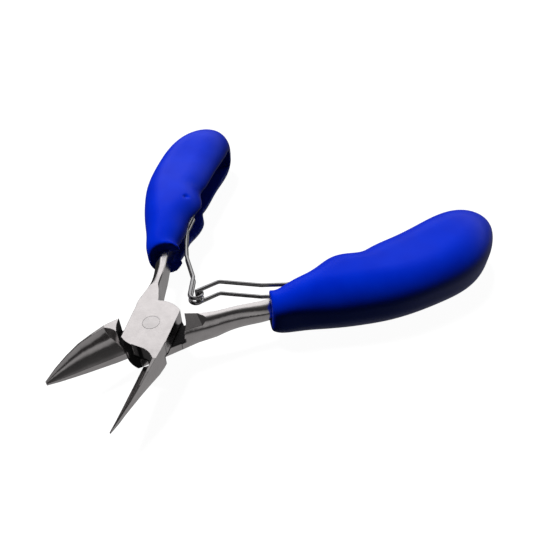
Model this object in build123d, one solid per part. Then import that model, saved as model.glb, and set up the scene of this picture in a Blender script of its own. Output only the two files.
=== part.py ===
from build123d import *
import os
from math import atan2, asin, copysign, cos, degrees, hypot, radians, sin

os.makedirs("parts", exist_ok=True)

# Spring-handled nippers, in millimetres.
# Every piece is drawn with the joint's lap face on the plane Z = 0 and the pivot on the Z axis.
# With the jaws shut the tool points along Y: jaws towards -Y, handles towards +Y.
# Each half is drawn shut, with its own handle at +X, and is then turned open about Z.
# The upper half is mirrored in X, so its handle ends up at -X.
# At the end everything is lowered, so that the origin is the middle of the joint's upper face.

# ---- driving dimensions ---------------------------------------------------------------
open_half_angle = 24.0       # each half is turned this far from shut, at rest
joint_half_height = 4.7      # the joint's ground faces, above and below the lap face
lap_gap = 0.06               # between the two lap plates
plate_radius = 8.0           # round ends of the lap plates
shoulder_radius = 8.6        # round walls that the other plate's end passes
plate_handle_edge = 5.8      # a plate's edge on its own handle's side, at the pivot
plate_edge_slope = 0.06      # and how that edge leans outwards towards the handle
plate_jaw_edge = 5.8         # straight edge of a plate on its own jaw's side
jaw_face_gap = 0.05          # from the middle plane to each cutting edge, when shut
jaw_tip_y = -27.2

rivet_radius = 1.8
rivet_head_radius = 2.2
rivet_head_depth = 0.9
rivet_clearance = 0.05

wire_radius = 0.58
wire_end_radius = 0.56       # short upright lengths that join a spring's two wires
loop_wire_height = 2.3       # the plain spring's two wires, above and below Z = 0
hook_wire_height = 1.0       # the hooked spring's two wires run inside them
wire_bend_radius = 2.0
hook_play = 0.92             # how far the plain spring's bar shifts in the hook by half travel
hook_play_angle = 6.6        # the way it shifts
hook_clearance = 0.07        # left at each end of that play
hook_lead_angle = -10.0      # where round the hook's circle the wire starts to curl
hook_lead_length = 7.3       # straight wire before the curl
hook_curl = 240.0            # degrees of curl round the plain spring's bar
spring_pin_radius = 0.8
spring_pin_half_length = 6.2
spring_eye_clearance = 0.05
spring_pin_x = 7.8           # where the spring is pinned in its grip, drawn shut
spring_pin_y = 53.0
spring_hook_y = 17.0         # where the two springs hook together, on the middle plane

slot_half_height = 3.6       # slot along the inner side of each grip
slot_start_y = 24.0
slot_end_y = 98.0
slot_neck_end_y = 41.0       # in front of this the slot is only as high as the spring's wires need
slot_full_y = 47.0           # and behind this it has its full height
slot_neck_margin = 0.35
upper_front_growth = 1.6     # the upper grip's front end reaches this much further inwards
front_growth_end_y = 46.0
dimple_radius = 0.9
dimple_depth = 0.9
dimple_height = 8.9          # the grip's surface over the spring pin

# Jaw sections: y, outer edge, top, bottom at the outer side, cutting edge, underside, rim width
jaw_sections = [
    (-3.0, 5.8, 4.70, -2.6, -2.6, -4.7, 0.9),
    (-8.0, 5.55, 4.70, -2.3, -2.5, -4.7, 0.9),
    (-10.5, 5.3, 4.65, -1.9, -2.45, -4.6, 0.8),
    (-14.0, 4.75, 4.00, -0.9, -2.35, -4.2, 0.6),
    (-17.5, 4.1, 3.20, -0.2, -2.2, -3.8, 0.35),
    (-21.0, 3.1, 1.90, -0.2, -2.1, -3.3, 0.3),
    (-24.2, 1.9, 0.50, -0.6, -1.9, -2.8, 0.25),
    (jaw_tip_y, 0.5, -1.1, -1.5, -1.6, -2.1, 0.15),
]
grind_sag = 0.17             # depth of the hollow grind over its chord

# Handle sections: y, inner side, outer side, height above Z = 0, depth below Z = 0,
# and the share of the width that is flat on the underside, which is the plate's side.
tang_sections = [
    (5.0, 1.20, 6.35, 5.2, 5.5, 0.90),
    (9.0, 1.45, 6.4, 4.75, 5.2, 0.85),
    (13.5, 3.05, 7.0, 3.95, 4.8, 0.45),
    (18.0, 4.10, 7.6, 3.70, 3.9, 0.30),
    (24.0, 5.20, 9.0, 3.40, 3.4, 0.30),
    (31.0, 6.60, 10.8, 3.05, 3.05, 0.30),
    (40.0, 8.70, 13.4, 2.9, 2.9, 0.30),
]
core_sections = [            # the rest of the bar, hidden inside the grip
    (40.0, 8.70, 13.4, 2.9, 2.9, 0.30),
    (50.0, 11.1, 16.1, 3.0, 3.0, 0.30),
    (60.0, 13.5, 18.3, 2.8, 2.8, 0.30),
    (72.0, 14.7, 19.3, 2.6, 2.6, 0.30),
    (90.0, 14.5, 18.7, 2.4, 2.4, 0.30),
]
bar_flat = 0.30              # share of the width that is flat on the upper side, before it rounds off
bar_bevel = 0.35             # cut off the bar's two inner corners
root_chamfer_start = 4.4     # x where the flat along the root's lower outer corner begins
root_chamfer_slope = 1.05
root_chamfer_start_y = -12.0
root_chamfer_end_y = 9.5     # from here it runs out along the bar
root_chamfer_run_out = 9.0
root_chamfer_run_out_drop = 1.4
root_chamfer_width = 5.0     # how far out and how far down the grinding clears
facet_start = 1.62           # x where the facet on top of the root begins
facet_slope = 0.466          # how steeply it falls outwards
facet_end_y = 11.3           # from here it runs out
facet_run_out = 2.7          # length of the run-out
facet_run_out_rise = 1.3
facet_start_y = 2.0
facet_width = 9.0            # how far out and how far up the grinding clears
facet_clear_height = 4.0

# Grip sections: y, middle x, width, thickness, heading towards +X from +Y
grip_sections = [
    (30.4, 8.3, 8.8, 12.6, 22.0),
    (37.0, 10.5, 11.4, 15.5, 21.0),
    (44.5, 11.8, 15.4, 18.0, 16.0),
    (50.5, 12.5, 19.4, 18.8, 11.0),
    (54.0, 13.25, 20.7, 19.0, 9.0),
    (58.0, 14.7, 20.8, 19.1, 7.0),
    (65.0, 16.15, 21.9, 18.9, 5.0),
    (76.6, 16.8, 23.8, 19.2, 0.0),
    (88.0, 16.6, 24.2, 21.6, -4.0),
    (97.8, 15.0, 21.4, 22.4, -8.0),
    (104.7, 13.4, 15.8, 18.2, -11.0),
    (108.6, 12.9, 10.1, 12.3, -13.0),
    (110.5, 13.0, 4.5, 6.5, -13.0),
]
grip_corner = 0.43           # corner radius over the thickness


def section_plane(x, y, heading):
    """A plane across a handle, with its X axis pointing outwards and its Y axis up."""
    turn = radians(heading)
    return Plane(origin=(x, y, 0), x_dir=(cos(turn), -sin(turn), 0), z_dir=(-sin(turn), -cos(turn), 0))


def cylinder_between(radius, low, high, x=0.0, y=0.0):
    return Pos(x, y, (low + high) / 2) * Cylinder(radius, high - low)


def section_face(points, y):
    """A closed polygon of (x, z) points, standing at the given y."""
    return make_face(Polyline(*[(x, y, z) for x, z in points], close=True))


def jaw_blank():
    sections = []
    for y, outer, top, outer_bottom, edge, under, rim in jaw_sections:
        inner = -jaw_face_gap
        outline = [(inner, under), (inner, top), (-outer, top), (-outer + 0.1, outer_bottom)]
        outline.append((-0.35 * outer, under))
        sections.append(section_face(outline, y))
    return loft(sections, ruled=True)


def grind_tool():
    """The hollow that the wheel leaves, from the rim down to the cutting edge."""
    sections = []
    for y, outer, top, outer_bottom, edge, under, rim in jaw_sections:
        rim_point = (-outer + rim, y, top)
        edge_point = (-jaw_face_gap, y, edge)
        chord_x = edge_point[0] - rim_point[0]
        chord_z = edge_point[2] - rim_point[2]
        middle = (
            (rim_point[0] + edge_point[0]) / 2 + grind_sag * chord_z,
            y,
            (rim_point[2] + edge_point[2]) / 2 - grind_sag * chord_x,
        )
        above = (rim_point[0], y, top + 3)
        beside = (2.0, y, top + 3)
        below = (2.0, y, edge)
        wire = [ThreePointArc(rim_point, middle, edge_point), Polyline(edge_point, below, beside, above, rim_point)]
        sections.append(make_face(wire))
    return loft(sections, ruled=True)


def grind_region():
    """Plan of the ground area: a round end wall by the joint, then along the outer edge."""
    wall = ThreePointArc((-1.3, -8.3), (-3.2, -9.3), (-4.7, -11.0))
    rest = Polyline((-4.7, -11.0), (-8.0, -14.0), (-8.0, -30.0), (3.0, -30.0), (3.0, -7.4), (-1.3, -8.3))
    return Pos(0, 0, -10) * extrude(make_face([wall, rest]), 20)


def quarter_round(shoulder, outer, height):
    """From the end of a flat side round to the middle of the outer side."""
    reach = outer - shoulder
    steps = [(shoulder + reach * sin(radians(turn)), height * cos(radians(turn))) for turn in (0, 30, 60, 90)]
    return Spline(*steps, tangents=[(1, 0), (0, -copysign(1, height))])


def bar_section(y, inner, outer, high, low, low_flat):
    """Section of the handle bar: a flat inner side and a rounded outer side."""
    high_shoulder = inner + bar_flat * (outer - inner)
    low_shoulder = inner + low_flat * (outer - inner)
    back = Polyline(
        (low_shoulder, -low), (inner + bar_bevel, -low), (inner, bar_bevel - low),
        (inner, high - bar_bevel), (inner + bar_bevel, high), (high_shoulder, high),
    )
    outline = [quarter_round(high_shoulder, outer, high), quarter_round(low_shoulder, outer, -low), back]
    across = Plane(origin=(0, y, 0), x_dir=(1, 0, 0), z_dir=(0, -1, 0))
    return across * make_face(outline)


def tang():
    """The handle bar, drawn for the lower half: its depth below Z = 0 is on the plate's side."""
    bar = loft([bar_section(*section) for section in tang_sections], ruled=False)
    core = loft([bar_section(*section) for section in core_sections], ruled=True)
    slab = Box(80, 300, 2 * joint_half_height)
    return (bar + core) & slab


def root_facet():
    """What is ground off the top of the lower half's root, so that it slopes outwards."""
    far_x = facet_start + facet_width
    run_out_y = facet_end_y + facet_run_out
    sections = []
    for y, rise in ((facet_start_y, 0), (facet_end_y, 0), (run_out_y, facet_run_out_rise)):
        top = joint_half_height + rise
        clear = top + facet_clear_height
        low = top - facet_slope * facet_width
        sections.append(section_face([(facet_start, top), (far_x, low), (far_x, clear), (facet_start, clear)], y))
    return loft(sections, ruled=True)


def root_chamfer():
    """What is ground off the lower outer corner where the handle leaves the joint."""
    start = root_chamfer_start
    far_x = start + root_chamfer_width
    run_out_y = root_chamfer_end_y + root_chamfer_run_out
    sections = []
    for y, drop in ((root_chamfer_start_y, 0), (root_chamfer_end_y, 0), (run_out_y, root_chamfer_run_out_drop)):
        low = -joint_half_height - drop
        high = low + root_chamfer_slope * root_chamfer_width
        clear = low - root_chamfer_width
        sections.append(section_face([(start, low), (far_x, high), (far_x, clear), (start, clear)], y))
    return loft(sections, ruled=True)


def lap_plate():
    reach = 1.5 * plate_radius
    lean = plate_edge_slope * reach
    near, far = (plate_handle_edge - lean, -reach), (plate_handle_edge + lean, reach)
    strip = make_face(Polyline(near, far, (-plate_jaw_edge, reach), (-plate_jaw_edge, -reach), close=True))
    plan = Circle(plate_radius) & strip
    return Pos(0, 0, -joint_half_height) * extrude(plan, joint_half_height - lap_gap / 2)


def rivet():
    shank = cylinder_between(rivet_radius, -joint_half_height, joint_half_height)
    cone = Cone(rivet_radius, rivet_head_radius, rivet_head_depth)
    top_head = Pos(0, 0, joint_half_height - rivet_head_depth / 2) * cone
    return shank + top_head + mirror(top_head, about=Plane.XY)


def rivet_hole(clearance):
    """What the rivet takes out of a plate, drawn for the lower plate."""
    bore = cylinder_between(rivet_radius + clearance, -20, 20)
    sink = Cone(rivet_head_radius + clearance, rivet_radius + clearance, rivet_head_depth)
    return bore + Pos(0, 0, -joint_half_height + rivet_head_depth / 2) * sink


def lower_half():
    jaw = jaw_blank()
    arm = tang()
    passage = cylinder_between(shoulder_radius, -lap_gap / 2, 20)
    body = (jaw + arm) - passage
    body = body + lap_plate()
    body = body - (grind_tool() & grind_region()) - root_chamfer() - root_facet()
    return body - rivet_hole(rivet_clearance)


def upper_half():
    """Drawn with its handle at +X and its plate on top, and mirrored afterwards."""
    jaw = jaw_blank()
    arm = mirror(tang(), about=Plane.XY)
    passage = cylinder_between(shoulder_radius, -20, lap_gap / 2)
    body = (jaw + arm) - passage
    body = body + mirror(lap_plate(), about=Plane.XY)
    body = body - (grind_tool() & grind_region()) - root_chamfer() - mirror(root_facet(), about=Plane.XY)
    return body - mirror(rivet_hole(0.0), about=Plane.XY)


def grip_blank(front_growth):
    """The grip's outer shape. front_growth widens its front end on the inner side."""
    sections = []
    for y, x, width, thickness, heading in grip_sections:
        share = max(0.0, (front_growth_end_y - y) / (front_growth_end_y - grip_sections[0][0]))
        growth = front_growth * share
        width = width + growth
        corner = min(grip_corner * thickness, 0.49 * width)
        plane = section_plane(x - growth / 2, y, heading)
        sections.append(plane * RectangleRounded(width, thickness, corner))
    return loft(sections, ruled=False)


def grip_slot(neck_half_height):
    """Open channel along the inner side, for the spring, low at the front and round near the tail."""
    outline = Polyline(
        (-10, slot_start_y), (7.0, slot_start_y), (7.6, 31), (10.2, 42), (12.4, 56), (13.4, 70), (13.0, 88),
        (9.0, slot_end_y - 1), (5.5, slot_end_y), (-10, slot_end_y), (-10, slot_start_y),
    )
    channel = Pos(0, 0, -slot_half_height) * extrude(make_face(outline), 2 * slot_half_height)
    upper_edge = [(slot_start_y, neck_half_height), (slot_neck_end_y, neck_half_height),
                  (slot_full_y, slot_half_height), (slot_end_y + 1, slot_half_height)]
    lower_edge = [(y, -z) for y, z in reversed(upper_edge)]
    profile = make_face(Polyline(*[(-11, y, z) for y, z in upper_edge + lower_edge], close=True))
    return channel & extrude(profile, 30, dir=(1, 0, 0))


def grip(dimple_side, wire_height, front_growth):
    neck = wire_height + wire_radius + slot_neck_margin
    body = grip_blank(front_growth) - grip_slot(neck) - tang()
    body = body - cylinder_between(spring_pin_radius, -spring_pin_half_length, spring_pin_half_length,
                                   spring_pin_x, spring_pin_y)
    surface = dimple_height * dimple_side
    dimple = Pos(spring_pin_x, spring_pin_y, surface) * Cylinder(dimple_radius, 2 * dimple_depth)
    return body - dimple


def spring_pin():
    return cylinder_between(spring_pin_radius, -spring_pin_half_length, spring_pin_half_length,
                            spring_pin_x, spring_pin_y)


def hook_point():
    """The springs' meeting point on the middle plane, seen from a half drawn shut."""
    turn = radians(open_half_angle)
    return (-spring_hook_y * sin(turn), spring_hook_y * cos(turn))


eye_radius = spring_pin_radius + spring_eye_clearance + wire_radius
hook_radius = 2 * wire_radius + hook_play / 2 + hook_clearance
hook_x, hook_y = hook_point()
curl_x = hook_x + hook_play / 2 * cos(radians(hook_play_angle))
curl_y = hook_y + hook_play / 2 * sin(radians(hook_play_angle))
lead = radians(hook_lead_angle)
lead_x = curl_x + hook_radius * cos(lead)
lead_y = curl_y + hook_radius * sin(lead)
hook_bend = (lead_x - hook_lead_length * sin(lead), lead_y + hook_lead_length * cos(lead))
loop_run = [(6.0, 46.5), (4.0, 38.5), (0.5, 32.2), (-7.2, 22.6)]
hook_run = [(6.2, 46.3), (4.05, 38.5), (1.6, 31.6), hook_bend]


def wire(path):
    return sweep(Plane(origin=path @ 0, z_dir=path % 0) * Circle(wire_radius), path=path)


def spring_run(points, end):
    """Centre line of one wire at Z = 0, from the eye on the pin to the hooked end."""
    start = (spring_pin_x - eye_radius, spring_pin_y)
    return FilletPolyline(start, *points, end, radius=wire_bend_radius)


def spring_eye():
    return Pos(spring_pin_x, spring_pin_y, 0) * Torus(eye_radius, wire_radius)


def loop_spring():
    """Plain hairpin: two wires joined by a straight bar at the hooked end."""
    leg = wire(spring_run(loop_run, (hook_x, hook_y))) + spring_eye()
    end_ball = Pos(hook_x, hook_y, 0) * Sphere(wire_radius)
    leg = leg + end_ball
    bar = cylinder_between(wire_end_radius, -loop_wire_height, loop_wire_height, hook_x, hook_y)
    return Pos(0, 0, loop_wire_height) * leg + Pos(0, 0, -loop_wire_height) * leg + bar


def hook_spring():
    """The other spring: its wires curl round the plain spring's bar."""
    run = spring_run(hook_run, (lead_x, lead_y))
    curl = CenterArc((curl_x, curl_y), hook_radius, hook_lead_angle, -hook_curl)
    end = curl @ 1
    end_ball = Pos(end.X, end.Y, 0) * Sphere(wire_radius)
    leg = (spring_eye() + wire(Wire(run.edges() + curl.edges()))) + end_ball
    bar = cylinder_between(wire_end_radius, -hook_wire_height, hook_wire_height, end.X, end.Y)
    return Pos(0, 0, hook_wire_height) * leg + Pos(0, 0, -hook_wire_height) * leg + bar


def lowered(shape):
    return Pos(0, 0, -joint_half_height) * shape


def place_lower(shape):
    return lowered(Rot(0, 0, -open_half_angle) * shape)


def place_upper(shape):
    return lowered(Rot(0, 0, open_half_angle) * mirror(shape, about=Plane.YZ))


def main():
    nodes = {
        "upper_half": place_upper(upper_half()),
        "upper_grip": place_upper(grip(1, hook_wire_height, upper_front_growth)),
        "upper_spring_pin": place_upper(spring_pin()),
        "pivot_rivet": lowered(rivet()),
        "hook_spring": place_upper(hook_spring()),
        "lower_half": place_lower(lower_half()),
        "lower_grip": place_lower(grip(-1, loop_wire_height, 0.0)),
        "lower_spring_pin": place_lower(spring_pin()),
        "loop_spring": place_lower(loop_spring()),
    }
    for name, shape in nodes.items():
        export_step(shape, f"parts/{name}.step")
        print(name, round(shape.volume, 1), len(shape.solids()))
    chord = hypot(spring_pin_x - hook_x, spring_pin_y - hook_y)
    open_angle = degrees(atan2(spring_pin_x - hook_x, spring_pin_y - hook_y))
    shut_angle = degrees(asin(spring_pin_x / chord))
    print("spring turns in its grip by", round(open_angle - shut_angle, 2), "degrees from rest to shut")


main()
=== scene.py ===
from math import cos, pi, radians, sin

import bmesh
import bpy
from mathutils import Matrix, Vector


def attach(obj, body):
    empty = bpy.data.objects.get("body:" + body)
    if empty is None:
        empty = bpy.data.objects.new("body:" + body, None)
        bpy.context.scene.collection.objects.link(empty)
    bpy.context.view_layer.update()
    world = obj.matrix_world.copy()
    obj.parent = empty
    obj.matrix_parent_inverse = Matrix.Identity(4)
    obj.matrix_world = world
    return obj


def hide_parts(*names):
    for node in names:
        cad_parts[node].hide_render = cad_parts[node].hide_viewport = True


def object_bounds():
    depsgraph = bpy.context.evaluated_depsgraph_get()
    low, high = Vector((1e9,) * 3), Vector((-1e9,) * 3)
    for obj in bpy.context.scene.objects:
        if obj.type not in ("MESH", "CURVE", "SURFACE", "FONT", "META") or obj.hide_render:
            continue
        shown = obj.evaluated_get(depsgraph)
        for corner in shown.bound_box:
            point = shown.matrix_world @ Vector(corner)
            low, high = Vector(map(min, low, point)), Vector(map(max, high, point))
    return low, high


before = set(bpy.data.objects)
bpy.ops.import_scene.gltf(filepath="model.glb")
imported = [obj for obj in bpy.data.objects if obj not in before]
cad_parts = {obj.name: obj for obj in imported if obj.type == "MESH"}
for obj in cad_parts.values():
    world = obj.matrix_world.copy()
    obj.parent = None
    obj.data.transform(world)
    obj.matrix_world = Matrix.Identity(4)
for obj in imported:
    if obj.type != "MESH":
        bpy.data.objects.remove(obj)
cad_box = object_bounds()

# Spring-handled nippers, drawn open and level just above a white table. The grips are nearest
# to it, and the jaws hang higher.
# Lengths are in metres unless a comment says millimetres.
MM = 0.001
OPEN_ANGLE = 24.0               # each half is turned this far from the line of the closed tool

# ---- camera -----------------------------------------------------------------------------
CAMERA_AZIMUTH = 33.645
CAMERA_ELEVATION = 41.474
CAMERA_ROLL = 0.54
CAMERA_DISTANCE = 136.35 * MM
CAMERA_TARGET = Vector((12.835, 37.22, -4.7)) * MM
CAMERA_LENS = 29.79             # millimetres, on a sensor 36 wide


def make_camera():
    data = bpy.data.cameras.new("camera")
    data.lens = CAMERA_LENS
    data.sensor_width = 36.0
    data.clip_start = 0.005
    data.clip_end = 20.0
    camera = bpy.data.objects.new("camera", data)
    bpy.context.scene.collection.objects.link(camera)
    azimuth, elevation = radians(CAMERA_AZIMUTH), radians(CAMERA_ELEVATION)
    back = Vector((sin(azimuth) * cos(elevation), -cos(azimuth) * cos(elevation), sin(elevation)))
    turn = (-back).to_track_quat("-Z", "Y").to_matrix().to_4x4()
    roll = Matrix.Rotation(radians(CAMERA_ROLL), 4, "Z")
    camera.matrix_world = Matrix.Translation(CAMERA_TARGET + back * CAMERA_DISTANCE) @ turn @ roll
    bpy.context.scene.camera = camera


# ---- node helpers -----------------------------------------------------------------------
def new_material(name):
    material = bpy.data.materials.new(name)
    material.use_nodes = True
    nodes = material.node_tree.nodes
    shader = nodes["Principled BSDF"]
    return material, nodes, material.node_tree.links, shader


def feed(links, value, socket):
    """Links another node's output to the socket, or sets a plain number or colour on it."""
    if isinstance(value, bpy.types.NodeSocket):
        links.new(value, socket)
    elif isinstance(value, tuple):
        socket.default_value = (*value, 1)
    else:
        socket.default_value = value


def colour_between(nodes, links, factor, first, second):
    mix = nodes.new("ShaderNodeMix")
    mix.data_type = "RGBA"
    feed(links, factor, mix.inputs[0])
    feed(links, first, mix.inputs[6])
    feed(links, second, mix.inputs[7])
    return mix.outputs[2]


def number_between(nodes, links, factor, first, second):
    mix = nodes.new("ShaderNodeMix")
    feed(links, factor, mix.inputs[0])
    feed(links, first, mix.inputs[2])
    feed(links, second, mix.inputs[3])
    return mix.outputs[0]


def math_node(nodes, links, operation, first, second=None):
    node = nodes.new("ShaderNodeMath")
    node.operation = operation
    feed(links, first, node.inputs[0])
    if second is not None:
        feed(links, second, node.inputs[1])
    return node.outputs[0]


def product(nodes, links, first, *others):
    """Several masks multiplied together."""
    result = first
    for other in others:
        result = math_node(nodes, links, "MULTIPLY", result, other)
    return result


def spread(nodes, links, value, low, high, start=0.3, end=0.7):
    """Maps a noise value from start..end to low..high."""
    ramp = nodes.new("ShaderNodeMapRange")
    ramp.inputs["From Min"].default_value = start
    ramp.inputs["From Max"].default_value = end
    ramp.inputs["To Min"].default_value = low
    ramp.inputs["To Max"].default_value = high
    links.new(value, ramp.inputs["Value"])
    return ramp.outputs["Result"]


def step(nodes, links, value, start, end):
    """0 at start and 1 at end, whichever way round they are, eased between."""
    ramp = nodes.new("ShaderNodeMapRange")
    ramp.interpolation_type = "SMOOTHSTEP"
    ramp.inputs["From Min"].default_value = start
    ramp.inputs["From Max"].default_value = end
    links.new(value, ramp.inputs["Value"])
    return ramp.outputs["Result"]


def vector_node(nodes, links, operation, first, second=None):
    node = nodes.new("ShaderNodeVectorMath")
    node.operation = operation
    links.new(first, node.inputs[0])
    if second is not None:
        links.new(second, node.inputs[1])
    return node


def half_coordinates(nodes, links, turn):
    """Object coordinates in millimetres, turned so that Y runs along one half of the tool."""
    source = nodes.new("ShaderNodeTexCoord")
    mapping = nodes.new("ShaderNodeMapping")
    mapping.inputs["Rotation"].default_value = (0, 0, radians(turn))
    mapping.inputs["Scale"].default_value = (1000, 1000, 1000)
    links.new(source.outputs["Object"], mapping.inputs["Vector"])
    return mapping.outputs["Vector"]


def stretched_noise(nodes, links, vector, scale, detail=4.0, roughness=0.6):
    stretch = nodes.new("ShaderNodeMapping")
    stretch.inputs["Scale"].default_value = scale
    links.new(vector, stretch.inputs["Vector"])
    noise = nodes.new("ShaderNodeTexNoise")
    noise.inputs["Scale"].default_value = 1.0
    noise.inputs["Detail"].default_value = detail
    noise.inputs["Roughness"].default_value = roughness
    links.new(stretch.outputs["Vector"], noise.inputs["Vector"])
    return noise.outputs["Fac"]


def bump(nodes, links, height, strength, depth, normal=None):
    node = nodes.new("ShaderNodeBump")
    node.inputs["Strength"].default_value = strength
    node.inputs["Distance"].default_value = depth
    links.new(height, node.inputs["Height"])
    if normal is not None:
        links.new(normal, node.inputs["Normal"])
    return node.outputs["Normal"]


def soft_edges(nodes, radius):
    node = nodes.new("ShaderNodeBevel")
    node.samples = 6
    node.inputs["Radius"].default_value = radius
    return node.outputs["Normal"]


# ---- painted shade and dull finish on the unground surfaces inside the joint's gaps -----
# Each pair is where a mask is 0 and where it is 1. Lengths are millimetres, and radii and edges
# are measured from the pivot.
LAP_LEVEL = -4.7                    # height of the face where the two halves lie on each other
POCKET_RADIUS = 8.75                # one half passes the other inside this
PLATE_RADIUS = 8.0                  # the round ends of the plates
POCKET_EDGE = (POCKET_RADIUS + 0.3, POCKET_RADIUS - 0.1)
PLATE_INNER_EDGE = (PLATE_RADIUS - 0.15, PLATE_RADIUS - 0.05)
PLATE_OUTER_EDGE = (PLATE_RADIUS + 0.3, PLATE_RADIUS + 0.1)
PLATE_END_SIDE = (5.8, 5.4)         # distance sideways from the line of the half
FLOOR_OFFSET = (0.9, 0.5)           # distance above or below the lap level
FACING_IN = (-0.2, -0.5)            # how far a surface faces away from the pivot
FACING_OUT = (0.5, 0.8)


def facing_outwards(nodes, links, coordinates):
    """1 where a surface faces straight away from the pivot, -1 where it faces the pivot."""
    flat = vector_node(nodes, links, "MULTIPLY", coordinates.outputs["Object"])
    flat.inputs[1].default_value = (1, 1, 0)
    unit = vector_node(nodes, links, "NORMALIZE", flat.outputs[0])
    facing = vector_node(nodes, links, "DOT_PRODUCT", unit.outputs[0], coordinates.outputs["Normal"])
    return facing.outputs["Value"]


def pocket_shade_and_dull_mask(nodes, links, vector, coordinates):
    """1 on the unground walls and floors inside the joint, where one half passes the other; it carries
    painted shade for these narrow gaps and their dull finish.

    The walls face the pivot, the plates' round ends face away from it, and the floors lie at
    the level where the two halves touch.
    """
    place = nodes.new("ShaderNodeSeparateXYZ")
    links.new(vector, place.inputs["Vector"])
    squares = [math_node(nodes, links, "POWER", place.outputs[axis], 2.0) for axis in ("X", "Y")]
    radius = math_node(nodes, links, "SQRT", math_node(nodes, links, "ADD", *squares))
    side = math_node(nodes, links, "ABSOLUTE", place.outputs["X"])
    offset = math_node(nodes, links, "SUBTRACT", place.outputs["Z"], LAP_LEVEL)
    facing = facing_outwards(nodes, links, coordinates)
    inside = step(nodes, links, radius, *POCKET_EDGE)
    wall = product(nodes, links, step(nodes, links, facing, *FACING_IN), inside)
    end = product(
        nodes, links,
        step(nodes, links, facing, *FACING_OUT),
        step(nodes, links, radius, *PLATE_INNER_EDGE),
        step(nodes, links, side, *PLATE_END_SIDE),
        step(nodes, links, radius, *PLATE_OUTER_EDGE),
    )
    distance = math_node(nodes, links, "ABSOLUTE", offset)
    ledge = product(nodes, links, inside, step(nodes, links, distance, *FLOOR_OFFSET))
    return math_node(nodes, links, "MAXIMUM", wall, math_node(nodes, links, "MAXIMUM", end, ledge))


# ---- materials --------------------------------------------------------------------------
# Base colour, darker patches, then the range of roughness on level faces and on the rest.
HALF_STEEL = ((0.76, 0.72, 0.72), (0.66, 0.625, 0.625), (0.26, 0.36), (0.13, 0.20))
RIVET_STEEL = ((0.73, 0.695, 0.695), (0.63, 0.60, 0.60), (0.28, 0.38), (0.2, 0.3))
# Painted shade: near black for the narrow gaps inside the joint, where the unground steel is also dull.
GAP_SHADE_COLOUR = (0.035, 0.034, 0.036)
UNGROUND_ROUGHNESS = 0.55
STEEL_NOISE = (0.38, 0.62)          # the middle of the noise, which is spread over each range
LEVEL_NORMAL = (0.985, 0.998)       # how upright the normal of a level face is
STEEL_EDGE_RADIUS = 0.18 * MM
STEEL_GRAIN_DEPTH = 0.01 * MM
WIRE_COLOURS = ((0.46, 0.45, 0.45), (0.28, 0.28, 0.29))
WIRE_ROUGHNESS = (0.14, 0.26)
WIRE_MARK_DEPTH = 0.01 * MM
GRIP_COLOURS = ((0.0, 0.012, 0.36), (0.0, 0.017, 0.42))
GRIP_ROUGHNESS = (0.38, 0.46)
GRIP_GRAIN_DEPTH = 0.02 * MM
GRIP_GLOSS_TINT = (0.06, 0.40, 1.0, 1)


def ground_steel(name, turn, base, dark, satin, polished):
    """Steel off a wheel: satin on level faces, smoother elsewhere, dull in the joint, with painted shade
    in the joint's gaps.
    """
    material, nodes, links, shader = new_material(name)
    vector = half_coordinates(nodes, links, turn)
    coordinates = nodes.new("ShaderNodeTexCoord")
    lines = stretched_noise(nodes, links, vector, (0.7, 7.0, 0.7), 4.0, 0.65)
    grain = stretched_noise(nodes, links, vector, (4.0, 4.0, 4.0), 5.0, 0.7)
    clouds = stretched_noise(nodes, links, vector, (0.3, 0.3, 0.3), 3.0)
    finish = math_node(nodes, links, "MULTIPLY", math_node(nodes, links, "ADD", lines, grain), 0.5)
    tone = math_node(nodes, links, "ADD", math_node(nodes, links, "MULTIPLY", clouds, 0.6),
                     math_node(nodes, links, "MULTIPLY", finish, 0.4))
    patches = spread(nodes, links, tone, 0, 1, *STEEL_NOISE)
    colour = colour_between(nodes, links, patches, base, dark)
    pocket_shade_and_dull = pocket_shade_and_dull_mask(nodes, links, vector, coordinates)
    # Painted shade: the joint's narrow gaps are coloured near black.
    colour_with_gap_shade = colour_between(nodes, links, pocket_shade_and_dull, colour, GAP_SHADE_COLOUR)
    links.new(colour_with_gap_shade, shader.inputs["Base Color"])

    normal = nodes.new("ShaderNodeSeparateXYZ")
    links.new(coordinates.outputs["Normal"], normal.inputs["Vector"])
    upright = math_node(nodes, links, "ABSOLUTE", normal.outputs["Z"])
    level_face = step(nodes, links, upright, *LEVEL_NORMAL)
    elsewhere = spread(nodes, links, finish, *polished, *STEEL_NOISE)
    on_level = spread(nodes, links, finish, *satin, *STEEL_NOISE)
    ground = number_between(nodes, links, level_face, elsewhere, on_level)
    rough = number_between(nodes, links, pocket_shade_and_dull, ground, UNGROUND_ROUGHNESS)
    links.new(rough, shader.inputs["Roughness"])

    edges = soft_edges(nodes, STEEL_EDGE_RADIUS)
    relief = bump(nodes, links, finish, 0.4, STEEL_GRAIN_DEPTH, edges)
    links.new(relief, shader.inputs["Normal"])
    shader.inputs["Metallic"].default_value = 1.0
    return material


def wire_steel(name, turn):
    """Polished spring wire with faint drawing marks."""
    material, nodes, links, shader = new_material(name)
    vector = half_coordinates(nodes, links, turn)
    marks = stretched_noise(nodes, links, vector, (4.0, 0.8, 4.0), 3.0)
    colour = colour_between(nodes, links, spread(nodes, links, marks, 0, 1), *WIRE_COLOURS)
    links.new(colour, shader.inputs["Base Color"])
    links.new(spread(nodes, links, marks, *WIRE_ROUGHNESS), shader.inputs["Roughness"])
    links.new(bump(nodes, links, marks, 0.2, WIRE_MARK_DEPTH), shader.inputs["Normal"])
    shader.inputs["Metallic"].default_value = 1.0
    return material


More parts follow.
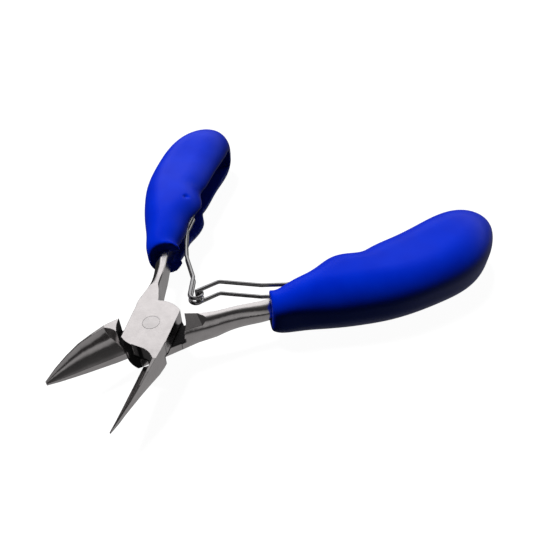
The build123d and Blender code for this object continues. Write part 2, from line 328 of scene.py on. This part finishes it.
def soft_plastic(name):
    """Royal blue moulded grip, satin, with a very fine grain and a blue-tinted gloss."""
    material, nodes, links, shader = new_material(name)
    vector = half_coordinates(nodes, links, 0)
    grain = stretched_noise(nodes, links, vector, (5.0, 5.0, 5.0), 3.0)
    clouds = stretched_noise(nodes, links, vector, (0.08, 0.08, 0.08), 2.0)
    colour = colour_between(nodes, links, spread(nodes, links, clouds, 0, 1), *GRIP_COLOURS)
    links.new(colour, shader.inputs["Base Color"])
    links.new(spread(nodes, links, grain, *GRIP_ROUGHNESS), shader.inputs["Roughness"])
    links.new(bump(nodes, links, grain, 0.12, GRIP_GRAIN_DEPTH), shader.inputs["Normal"])
    shader.inputs["Specular IOR Level"].default_value = 0.22
    shader.inputs["Specular Tint"].default_value = GRIP_GLOSS_TINT
    return material


# ---- pieces -----------------------------------------------------------------------------
WELD_DISTANCE = 0.002 * MM
SKIN_VOXEL = 0.4 * MM
SKIN_SMOOTHING_ROUNDS = 14


def softened_copy(name, node):
    """A new skin over a CAD node: evenly meshed, then smoothed so that its edges are rounded."""
    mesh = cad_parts[node].data.copy()
    mesh.name = name
    piece = bpy.data.objects.new(name, mesh)
    bpy.context.scene.collection.objects.link(piece)
    shell = bmesh.new()
    shell.from_mesh(mesh)
    bmesh.ops.remove_doubles(shell, verts=shell.verts, dist=WELD_DISTANCE)
    shell.to_mesh(mesh)
    shell.free()
    remesh = piece.modifiers.new("even", "REMESH")
    remesh.mode = "VOXEL"
    remesh.voxel_size = SKIN_VOXEL
    smooth = piece.modifiers.new("round", "SMOOTH")
    smooth.factor = 0.5
    smooth.iterations = SKIN_SMOOTHING_ROUNDS
    graph = bpy.context.evaluated_depsgraph_get()
    made = bpy.data.meshes.new_from_object(piece.evaluated_get(graph))
    piece.modifiers.clear()
    piece.data = made
    for face in made.polygons:
        face.use_smooth = True
    return piece


def make_grip(node, body, material):
    piece = softened_copy(node + "_skin", node)
    piece.data.materials.clear()
    piece.data.materials.append(material)
    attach(piece, body)
    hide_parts(node)


def dress(node, material):
    """Gives a CAD node its finished material."""
    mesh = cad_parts[node].data
    mesh.materials.clear()
    mesh.materials.append(material)


# ---- stage ------------------------------------------------------------------------------
FLOOR_GAP = 0.05 * MM               # the table lies this far under the lowest point
FLOOR_HALF_WIDTH = 3.0
FLOOR_COLOUR = (0.10, 0.10, 0.10, 1)
FLOOR_GLOW = 0.965

# Brightness of the studio along a great circle: degrees from the far horizon over the top, and level.
STUDIO_ARC = [
    (-180, 0.03), (-168, 0.05), (-150, 0.24), (-90, 0.30), (-25, 0.26), (-4, 0.05),
    (6, 0.10), (18, 1.00), (40, 1.20), (60, 1.00), (72, 0.40), (84, 0.16),
    (100, 0.05), (138, 0.03), (150, 0.26), (168, 0.34),
]
# The next four are parts of a unit direction: how high it points, or how far across the view.
HORIZON_BLUR = 0.05
CLEAR_OF_HORIZON = (0.0, 0.22)
LIT_GROUND_ACROSS = (-0.35, 0.10)
LIT_SKY_ACROSS = (-0.66, -0.44)

UNLIT_COLOUR = (0.03, 0.03, 0.03)
BACKDROP_COLOUR = (1, 1, 1)
SOFT_FILL = 0.08                    # share of the studio's light that soft surfaces receive

LAMP_PLACE = Vector((-0.30, -0.02, 0.80))
LAMP_AIM = Vector((0, 0.03, 0))
LAMP_SIZE = 0.26
LAMP_POWER = 12.5


def make_floor():
    mesh = bpy.data.meshes.new("floor")
    plane = bmesh.new()
    bmesh.ops.create_grid(plane, x_segments=1, y_segments=1, size=FLOOR_HALF_WIDTH)
    plane.to_mesh(mesh)
    plane.free()
    floor = bpy.data.objects.new("floor", mesh)
    floor.location = (0, 0, cad_box[0].z - FLOOR_GAP)
    bpy.context.scene.collection.objects.link(floor)
    material, _, _, shader = new_material("table_white")
    shader.inputs["Base Color"].default_value = FLOOR_COLOUR
    shader.inputs["Roughness"].default_value = 0.9
    shader.inputs["Specular IOR Level"].default_value = 0.0
    shader.inputs["Emission Color"].default_value = (1, 1, 1, 1)
    shader.inputs["Emission Strength"].default_value = FLOOR_GLOW
    mesh.materials.append(material)
    floor.visible_glossy = False
    floor.visible_diffuse = False


def level_direction(nodes, links, split, x_share, y_share):
    """How far a direction points along one level line, from its X and Y parts."""
    along_x = math_node(nodes, links, "MULTIPLY", split.outputs["X"], x_share)
    along_y = math_node(nodes, links, "MULTIPLY", split.outputs["Y"], y_share)
    return math_node(nodes, links, "ADD", along_x, along_y)


def studio_arc_colour(nodes, links, split, azimuth):
    """The grey level of STUDIO_ARC in each direction."""
    away = level_direction(nodes, links, split, -sin(azimuth), cos(azimuth))
    turn = math_node(nodes, links, "ARCTAN2", split.outputs["Z"], away)
    rise = nodes.new("ShaderNodeMapRange")
    rise.inputs["From Min"].default_value = -pi
    rise.inputs["From Max"].default_value = pi
    links.new(turn, rise.inputs["Value"])
    ramp = nodes.new("ShaderNodeValToRGB")
    links.new(rise.outputs["Result"], ramp.inputs["Fac"])
    stops = ramp.color_ramp.elements
    while len(stops) < len(STUDIO_ARC):
        stops.new(1.0)
    for stop, (degree, level) in zip(stops, STUDIO_ARC):
        stop.position = (degree + 180) / 360
        stop.color = (level, level, level, 1)
    return ramp.outputs["Color"]


def lit_directions(nodes, links, split, azimuth):
    """1 where the studio is lit, 0 near the horizon and towards one side."""
    height = math_node(nodes, links, "ABSOLUTE", split.outputs["Z"])
    across = level_direction(nodes, links, split, cos(azimuth), sin(azimuth))
    above = step(nodes, links, split.outputs["Z"], -HORIZON_BLUR, HORIZON_BLUR)
    below = step(nodes, links, split.outputs["Z"], HORIZON_BLUR, -HORIZON_BLUR)
    lit_ground = math_node(nodes, links, "MAXIMUM", above, step(nodes, links, across, *LIT_GROUND_ACROSS))
    lit_sky = math_node(nodes, links, "MAXIMUM", below, step(nodes, links, across, *LIT_SKY_ACROSS))
    return product(nodes, links, step(nodes, links, height, *CLEAR_OF_HORIZON), lit_ground, lit_sky)


def make_world():
    """The studio that the steel reflects, given by direction alone.

    The camera sees a white backdrop instead, and soft surfaces receive only SOFT_FILL of it.
    """
    world = bpy.data.worlds.new("studio")
    bpy.context.scene.world = world
    world.use_nodes = True
    nodes, links = world.node_tree.nodes, world.node_tree.links
    source = nodes.new("ShaderNodeTexCoord")
    split = nodes.new("ShaderNodeSeparateXYZ")
    links.new(source.outputs["Generated"], split.inputs["Vector"])
    azimuth = radians(CAMERA_AZIMUTH)
    arc = studio_arc_colour(nodes, links, split, azimuth)
    lit = lit_directions(nodes, links, split, azimuth)
    studio = colour_between(nodes, links, lit, UNLIT_COLOUR, arc)
    path = nodes.new("ShaderNodeLightPath")
    seen = colour_between(nodes, links, path.outputs["Is Camera Ray"], studio, BACKDROP_COLOUR)
    links.new(seen, nodes["Background"].inputs["Color"])
    strength = number_between(nodes, links, path.outputs["Is Diffuse Ray"], 1.0, SOFT_FILL)
    links.new(strength, nodes["Background"].inputs["Strength"])


def make_lamp():
    """A square lamp overhead, left out of reflections."""
    data = bpy.data.lights.new("overhead", "AREA")
    data.shape = "SQUARE"
    data.size = LAMP_SIZE
    data.energy = LAMP_POWER
    light = bpy.data.objects.new("overhead", data)
    light.location = LAMP_PLACE
    light.rotation_mode = "QUATERNION"
    light.rotation_quaternion = (LAMP_AIM - LAMP_PLACE).to_track_quat("-Z", "Y")
    light.visible_glossy = False
    bpy.context.scene.collection.objects.link(light)


# ---- assembly ---------------------------------------------------------------------------
bpy.context.scene.view_settings.view_transform = "Standard"
make_camera()
make_floor()
make_world()
make_lamp()

dress("upper_half", ground_steel("upper_steel", -OPEN_ANGLE, *HALF_STEEL))
dress("lower_half", ground_steel("lower_steel", OPEN_ANGLE, *HALF_STEEL))
dress("pivot_rivet", ground_steel("rivet_face", -OPEN_ANGLE, *RIVET_STEEL))
pin_material = wire_steel("pin_steel", 0)
dress("upper_spring_pin", pin_material)
dress("lower_spring_pin", pin_material)
dress("hook_spring", wire_steel("hook_wire", -OPEN_ANGLE))
dress("loop_spring", wire_steel("loop_wire", OPEN_ANGLE))

blue = soft_plastic("blue_grip")
make_grip("upper_grip", "upper_handle", blue)
make_grip("lower_grip", "lower_handle", blue)
